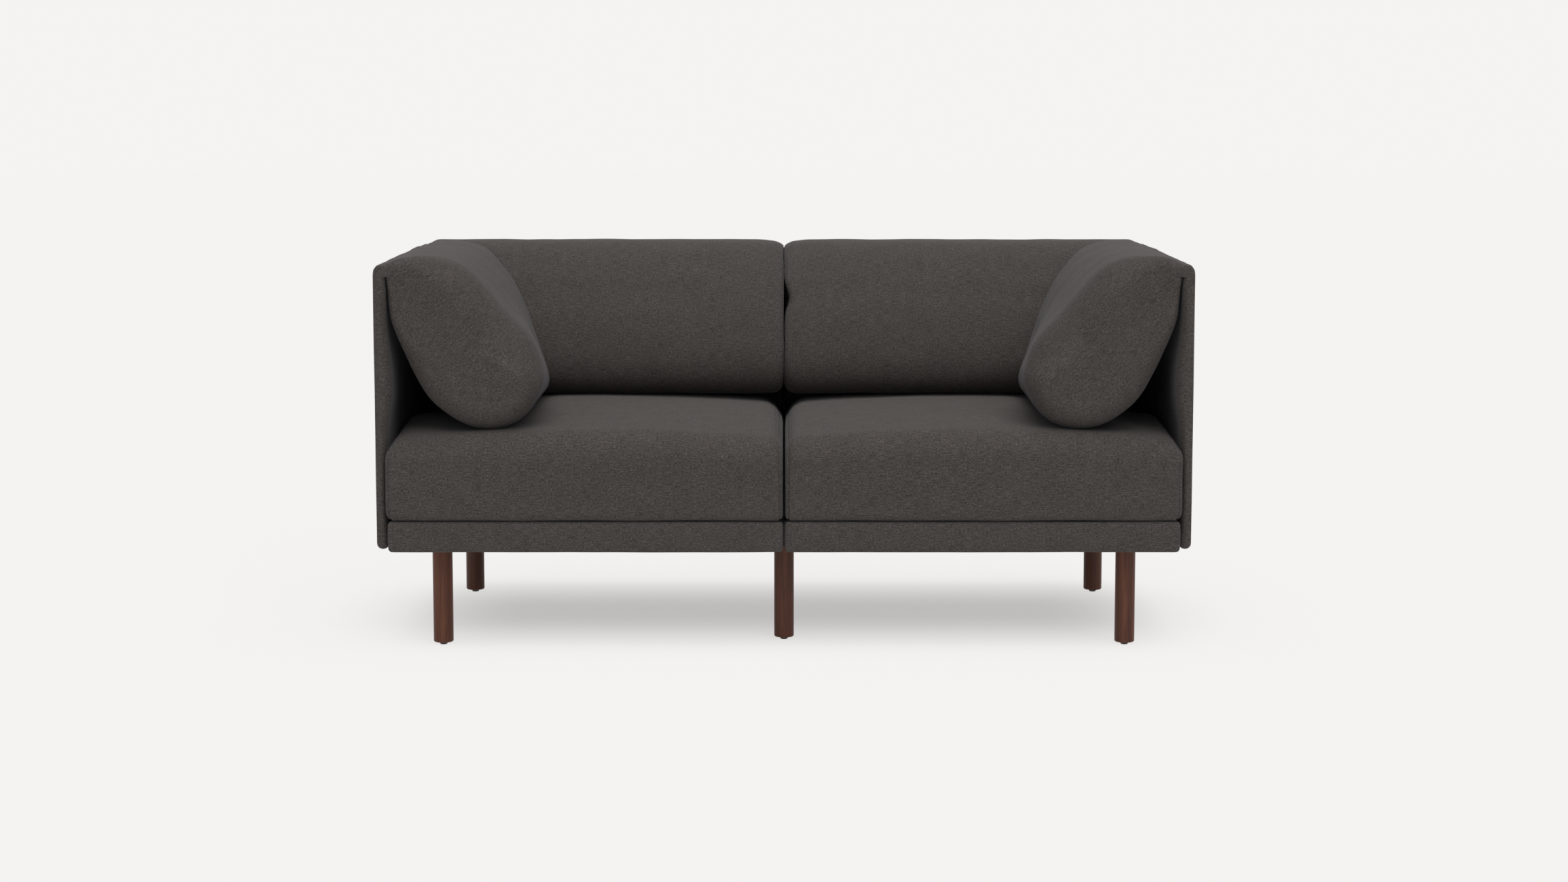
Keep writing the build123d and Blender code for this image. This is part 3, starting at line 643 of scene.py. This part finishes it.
def makeArm(word, s=armCushion):
    side, outline = sides[word], hungOutline(hung["bottom"], hung["top"])
    out, up = outline[:, 0], outline[:, 1]
    strip = onStrip(len(outline))
    away = np.hypot(out, up - hung["top"])
    foot = smoothStep(s["footTop"] - up, 0, s["footSpan"])
    deep = s["frontRadius"] - (s["frontRadius"] - s["footRadius"]) * foot
    byPanel = (out < s["panelSide"]) & (np.arange(len(outline)) > hung["steps"] // 2)
    grown = np.where(byPanel, smoothStep(away, *s["panelSpan"]), smoothStep(away, *s["hingeSpan"]))
    front = np.where(strip, s["stripRadius"], s["hingeRadius"] + (deep - s["hingeRadius"]) * grown)
    front = front + s["longRound"] * smoothStep(out, *s["longAcross"]) * smoothStep(up, *s["longUp"]) * ~strip
    rear = np.where(strip, s["stripRear"], s["rearRadius"])
    nose, turn = sofa["panelFront"] - sofa["close"], -side * radians(s["endWeave"])

    def startOf(q):
        return nose + s["faceBack"] * smoothStep(np.hypot(q[:, 0], q[:, 1] - s["faceTop"]), *s["faceSpan"])

    def endOf(q):
        return np.minimum(backFront(q[:, 1]) - s["gap"], s["reach"])

    along, across, faces, uvs, caps = softBody(
        outline, s["centre"], startOf, endOf, front, rear, hung["step"], capTurn=turn,
        bodyTurn=radians(s["bodyWeave"]), capOutline=closedStrip(outline))
    u, z, y = across[:, 0], across[:, 1], along
    place = np.arange(len(along)) % len(outline)
    under = (place >= hung["steps"] - s["wallSteps"]) & (place < hung["steps"] + len(hung["under"]))
    into = np.clip(sofa["panelFront"] + s["noseRadius"] - y, 0, s["noseRadius"])
    drop = s["noseRadius"] - np.sqrt(s["noseRadius"]**2 - into**2)
    above = np.clip(z - (sofa["panelTop"] + sofa["close"] - drop), 0, 1)
    byWall = under * (1 - smoothStep(u, *s["wallSpan"]))
    z = z - above * byWall
    y = y + s["tuck"] * (into / s["noseRadius"])**2 * byWall
    floor = seatTop(sofa["moduleOut"] - s["restInset"], y) + hung["rest"]
    z = z + (floor - hung["bottom"]) * (1 - smoothStep(z, hung["bottom"], s["restTop"]))
    moved = np.column_stack([np.zeros(len(z)), z - across[:, 1]])
    uvs = shiftEnds(uvs, faces, caps, len(outline), moved @ turning(turn))
    share = (y - nose) / (s["reach"] - nose)
    u = u * (1 - s["slack"] * (1 - bulge(share)) * smoothStep(u, *hung["slackSpan"]))
    belly = smoothStep(u, *s["bellyAcross"]) * hill(across[:, 1], *s["bellyUp"])
    corner = smoothStep(u, *s["cornerAcross"]) * (1 - smoothStep(across[:, 1], *s["cornerUp"]))
    atFront = 1 - smoothStep(y, *s["frontSpan"])
    u = u + belly * (s["fuller"] * atFront - s["slimmer"]) - s["slimmer"] * corner * atFront
    places = np.column_stack([side * (sofa["moduleOut"] - u), y, z])
    piece = makePiece(f"armCushion_{word}", places, faces, uvs)
    soften(piece, hung["uneven"], hung["unevenSize"], s["seed"] + side)
    wall = side * sofa["moduleOut"]
    wall + side * s["bendOut"]
    wall - side * s["bendIn"]
    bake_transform(piece)
    finishSoft(piece, [f"arm_cushion_{word}", f"arm_hinge_strip_{word}"], rides=False)


for word in sides:
    makeBack(word)
    makeArm(word)
print("hung cushions made")

panel = {
    "corner": 0.014, "armTop": 0.022, "inner": 0.0125, "outerEdge": 0.0110, "proud": 0.0019, "crown": 0.0010,
    # an arm panel's front edge is rounder inside, but not at its foot and top
    "frontRoll": 0.018, "rollDepth": 0.01, "rollFoot": (0.02, 0.06), "rollTop": (0.10, 0.04),
    # and its inner face is fuller in the open corner above the seat, where nothing presses on it
    "fuller": 0.008, "fullerUp": (0.44, 0.52, 0.55, 0.655), "fullerDeep": (-0.33, -0.17),
    "fullerFace": (0.7902, 0.8060),
    "backPlay": 0.0004, "backGap": 0.0003, "armReach": 0.0019,
    "step": 0.010, "bodyStep": 0.004, "uneven": 0.0005, "unevenSize": 0.2, "seed": 5.0,
}


def makePanel(name, side, node, low, high, topFront, place, s=panel):
    outline = roundedOutline([(low[0], low[1]), (high[0], low[1]), (high[0], high[1]), (low[0], high[1])],
                             [s["corner"], s["corner"], s["corner"], topFront], s["step"])
    thick, arm = sofa["outer"] - sofa["moduleOut"], "arm" in name
    inner = np.full(len(outline), s["inner"])
    atFront = 1 - smoothStep(outline[:, 0], low[0], low[0] + s["rollDepth"])
    limits = [low[1] + rise for rise in s["rollFoot"]] + [high[1] - drop for drop in s["rollTop"]]
    roll = inner + s["frontRoll"] * atFront * hill(outline[:, 1], *limits) * arm
    along, across, faces, uvs = softBody(
        outline, ((low[0] + high[0]) / 2, (low[1] + high[1]) / 2), flatEnd(0.0), flatEnd(thick + s["proud"]),
        inner, np.full(len(outline), s["outerEdge"]), s["bodyStep"], inward=inwardNormals(outline),
        startInset=roll)[:4]
    shares = [(across[:, i] - low[i]) / (high[i] - low[i]) for i in (0, 1)]
    along = along + s["crown"] * (bulge(shares[0]) * bulge(shares[1])) ** 0.5 * (along > thick)
    piece = makePiece(name, place(along, across), faces, uvs)
    soften(piece, s["uneven"], s["unevenSize"], s["seed"])
    places, wall = vertexField(piece, "co"), sofa["moduleOut"] + sofa["touch"]
    if arm:
        inside = np.abs(places[:, 0]) < wall
        places[inside, 0] = np.sign(places[inside, 0]) * wall
        free = hill(places[:, 2], *s["fullerUp"]) * (1 - smoothStep(places[:, 1], *s["fullerDeep"]))
        places[:, 0] -= side * s["fuller"] * free * (1 - smoothStep(np.abs(places[:, 0]), *s["fullerFace"]))
    else:
        places[:, 1] = np.maximum(places[:, 1], sofa["backWall"] + sofa["close"])
        places[np.abs(places[:, 0]) < sofa["moduleIn"], 0] = 0.0  # the cloths of the two modules touch
        places[np.abs(places[:, 0]) > sofa["moduleOut"] - s["armReach"], 0] = side * wall
    setPoints(piece, places)
    finishSoft(piece, [node])


def makePanels(word, s=panel):
    side = sides[word]
    makePanel(f"armPanel_{word}", side, f"arm_panel_{word}",
              (sofa["panelFront"], sofa["panelBottom"]), (sofa["rear"], sofa["panelTop"]), s["armTop"],
              lambda a, q: np.column_stack([side * (sofa["moduleOut"] + a), q[:, 0], q[:, 1]]))
    makePanel(f"backPanel_{word}", side, f"back_panel_{word}",
              (0.0, sofa["panelBottom"]), (sofa["moduleOut"] - s["backPlay"], sofa["panelTop"]), s["corner"],
              lambda a, q: np.column_stack([side * q[:, 0], sofa["backWall"] + s["backGap"] + a, q[:, 1]]))


for word in sides:
    makePanels(word)
print("panels made")

base = {
    # inwards from the module's box and height, round the cloth from the flap below to the flap above
    "section": [(0.0235, 0.2032), (0.0240, 0.2015), (0.0230, 0.2002), (0.0160, 0.2000), (0.0080, 0.2000),
                (0.0050, 0.2008), (0.0023, 0.2025), (0.0006, 0.2052), (0.0, 0.2085), (-0.0006, 0.2200),
                (-0.0008, 0.2310), (-0.0006, 0.2420), (0.0, 0.2535), (0.0006, 0.2568), (0.0023, 0.2595),
                (0.0050, 0.2612), (0.0080, 0.2619), (0.0160, 0.2620), (0.0230, 0.2618), (0.0240, 0.2600),
                (0.0235, 0.2584), (0.0030, 0.2584), (0.0030, 0.2032)],
    "widest": 8, "play": 0.0006, "corner": 0.008, "leastCorner": 0.0015, "cornerSteps": 6,
    # the cloth lies on the two plates that bridge the bases
    "plates": (-0.280, 0.2315), "plateHalf": 0.0312, "plateReach": 0.0608, "plateZone": 0.2046,
    "plateTop": 0.2042,
    # and the two bases swell towards each other across the gap
    "gapReach": 0.004, "gapSwell": 0.0035, "gapDeep": (-0.400, -0.375, 0.36, 0.385),
    "gapUp": (0.203, 0.215, 0.247, 0.259),
    "step": 0.012, "uneven": 0.0006, "unevenSize": 0.12, "seed": 9.0,
}


def makeBase(word, s=base):
    side = sides[word]
    low = np.array([sofa["moduleIn"], sofa["front"]])
    high = np.array([sofa["moduleOut"] - s["play"], sofa["backWall"] - s["play"]])
    rows = []
    for inset, z in s["section"]:
        a, b = low + inset, high - inset
        rows.append((roundedOutline([(a[0], a[1]), (b[0], a[1]), (b[0], b[1]), (a[0], b[1])],
                                    [max(s["corner"] - inset, s["leastCorner"])] * 4,
                                    s["step"], s["cornerSteps"]), z))
    widest = rows[s["widest"]][0]
    count, total = len(widest), len(rows)
    points = []
    for line, z in rows:
        if len(line) != count:  # every row gets as many points as the widest one
            closed, run = np.vstack([line, line[:1]]), closedRun(line)
            even = np.linspace(0, run[-1], count, endpoint=False)
            line = np.column_stack([np.interp(even, run, closed[:, i]) for i in (0, 1)])
        points.append(np.column_stack([line, np.full(count, z)]))
    places = np.vstack(points)
    run, climb = closedRun(widest), closedRun(np.array(s["section"]))
    faces, uvs = [], []
    for r in range(total):
        for j in range(count):
            k, n = (j + 1) % count, (r + 1) % total
            faces.append((r * count + j, r * count + k, n * count + k, n * count + j))
            uvs += [(run[j], climb[r]), (run[j + 1], climb[r]),
                    (run[j + 1], climb[r + 1]), (run[j], climb[r + 1])]
    under = (places[:, 0] < s["plateReach"]) & (places[:, 2] < s["plateZone"])
    for y in s["plates"]:
        near = under & (np.abs(places[:, 1] - y) < s["plateHalf"])
        places[near, 2] = np.maximum(places[near, 2], s["plateTop"])
    places[:, 0] *= side
    piece = makePiece(f"baseUpholstery_{word}", places, faces, uvs)
    soften(piece, s["uneven"], s["unevenSize"], s["seed"] + side)
    places = vertexField(piece, "co")
    inner = np.abs(places[:, 0]) < s["gapReach"]
    swell = s["gapSwell"] * hill(places[:, 1], *s["gapDeep"]) * hill(places[:, 2], *s["gapUp"])
    places[:, 0] = np.where(inner, side * np.maximum(side * places[:, 0] - swell, 0.0), places[:, 0])
    setPoints(piece, places)
    finishSoft(piece, [f"base_cover_{word}"])


for word in sides:
    makeBase(word)
print("bases made")

stitch = {"pitch": 0.0052, "length": 0.0036, "thickness": 0.00035}


def stitchTree(s=stitch):
    tree = bpy.data.node_groups.new("stitchesAlongSeam", "GeometryNodeTree")
    tree.interface.new_socket("Geometry", in_out="INPUT", socket_type="NodeSocketGeometry")
    for label, value in (("Pitch", s["pitch"]), ("Length", s["length"]), ("Thickness", s["thickness"])):
        tree.interface.new_socket(label, in_out="INPUT", socket_type="NodeSocketFloat").default_value = value
    tree.interface.new_socket("Geometry", in_out="OUTPUT", socket_type="NodeSocketGeometry")
    nodes, links = tree.nodes, tree.links
    source, result = nodes.new("NodeGroupInput"), nodes.new("NodeGroupOutput")
    spaced = nodes.new("GeometryNodeResampleCurve")
    spaced.mode = "LENGTH"
    thread = nodes.new("GeometryNodeMeshCylinder")
    thread.inputs["Vertices"].default_value = 6
    tangent, turn = nodes.new("GeometryNodeInputTangent"), nodes.new("FunctionNodeAlignRotationToVector")
    turn.axis = "Z"
    placed, real = nodes.new("GeometryNodeInstanceOnPoints"), nodes.new("GeometryNodeRealizeInstances")
    dye = nodes.new("GeometryNodeSetMaterial")
    dye.inputs["Material"].default_value = threadMaterial
    for first, outName, second, inName in (
            (source, "Geometry", spaced, "Curve"), (source, "Pitch", spaced, "Length"),
            (source, "Length", thread, "Depth"), (source, "Thickness", thread, "Radius"),
            (tangent, "Tangent", turn, "Vector"), (spaced, "Curve", placed, "Points"),
            (thread, "Mesh", placed, "Instance"), (turn, "Rotation", placed, "Rotation"),
            (placed, "Instances", real, "Geometry"), (real, "Geometry", dye, "Geometry"),
            (dye, "Geometry", result, "Geometry")):
        links.new(first.outputs[outName], second.inputs[inName])
    return tree


def makeStitches(name, lines, tree):
    curve = bpy.data.curves.new(name + "_path", "CURVE")
    curve.dimensions = "3D"
    for line in lines:
        spline = curve.splines.new("POLY")
        spline.points.add(len(line) - 1)
        places = np.column_stack([line, np.ones(len(line))])
        spline.points.foreach_set("co", places.astype(np.float32).ravel())
        spline.use_cyclic_u = True
    path = addObject(name + "_path", curve)
    path.modifiers.new("stitches", "NODES").node_group = tree
    bpy.context.view_layer.update()
    made = bpy.data.meshes.new_from_object(path.evaluated_get(bpy.context.evaluated_depsgraph_get()))
    bpy.data.objects.remove(path)
    made.name = name
    piece = addObject(name, made)
    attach(piece, "frame")


seamStitches = stitchTree()
for word in sides:
    makeStitches(f"seatStitches_{word}", seatSeams[word], seamStitches)
print("stitches made")

studio = {
    "backdrop": "f4f3f1", "floor": "f4f3f1", "floorSize": 30.0, "world": 0.22,
    # the share of the floor that the camera sees as painted glow in the backdrop's colour, against its lit
    # cloth: least in a core under the sofa, and more within a reach around it, where this painted light
    # lightens and narrows the real shadow
    "glow": 0.54, "glowRise": 0.38, "core": (0.54, 0.03), "coreBack": 0.04, "glowReach": 0.50,
    # strength, angle across in degrees, and direction of each sun
    "suns": {
        "topLight": (2.06, 55.0, (-0.05, 0.14, -1.0)),
        "frontLight": (0.56, 90.0, (0.0, 1.0, -0.28)),
        "sideLight": (0.20, 9.0, (-0.52, 0.86, -0.75)),
    },
}


def makeFloor(s=studio):
    mesh = bpy.data.meshes.new("studioFloor")
    size = s["floorSize"]
    corners = [(-size, -size, 0), (size, -size, 0), (size, size, 0), (-size, size, 0)]
    mesh.from_pydata(corners, [], [(0, 1, 2, 3)])
    floor = addObject("studioFloor", mesh)
    p = Paint(bpy.data.materials.new("paleFloor"))
    lit = p.add("ShaderNodeBsdfDiffuse", None, colour(s["floor"]))
    glow = p.add("ShaderNodeEmission", None, colour(s["backdrop"]), 1.0)
    axes = p.add("ShaderNodeSeparateXYZ", None, p.add("ShaderNodeTexCoord", None, out=3)).socket.node.outputs
    x, y = Wire(p, axes[0]), Wire(p, axes[1]) - s["coreBack"]
    beside = p.higher(x.calc("ABSOLUTE", x) - s["core"][0], 0.0)
    before = p.higher(y.calc("ABSOLUTE", y) - s["core"][1], 0.0)
    away = (beside * beside + before * before) ** 0.5
    # painted light: the glow share rises away from the sofa's core, so the cast shadow fades out beyond it
    paintedGlowShare = p.add("ShaderNodeMapRange", {"interpolation_type": "SMOOTHSTEP"}, away,
                   0.0, s["glowReach"], s["glow"], s["glow"] + s["glowRise"])
    mesh.materials.append(p.finish(p.add("ShaderNodeMixShader", None, p.shown() * paintedGlowShare, lit, glow)))


def makeWorld(s=studio):
    bpy.context.scene.world = bpy.data.worlds.new("studioWorld")
    p = Paint(bpy.context.scene.world, "ShaderNodeOutputWorld")
    light = p.add("ShaderNodeBackground", None, (1, 1, 1, 1), s["world"])
    backdrop = p.add("ShaderNodeBackground", None, colour(s["backdrop"]), 1.0)
    p.finish(p.add("ShaderNodeMixShader", None, p.shown(), light, backdrop))


def makeSun(name, strength, angle, direction):
    light = bpy.data.lights.new(name, "SUN")
    light.energy, light.angle = strength, radians(angle)
    lamp = addObject(name, light)
    lamp.rotation_euler = Vector(direction).to_track_quat("-Z", "Y").to_euler()


makeFloor()
makeWorld()
for sunName, sun in studio["suns"].items():
    makeSun(sunName, *sun)

view = {"lens": 68.1, "sensor": 36.0, "pitch": 6.94, "height": 1.1355, "distance": 6.26}
camera = addObject("photoCamera", bpy.data.cameras.new("photoCamera"))
camera.data.lens, camera.data.sensor_width = view["lens"], view["sensor"]
camera.location = (0, -view["distance"], view["height"])
camera.rotation_euler = (radians(90 - view["pitch"]), 0, 0)
bpy.context.scene.camera = camera
bpy.context.scene.view_settings.view_transform = "Standard"
print("studio made")
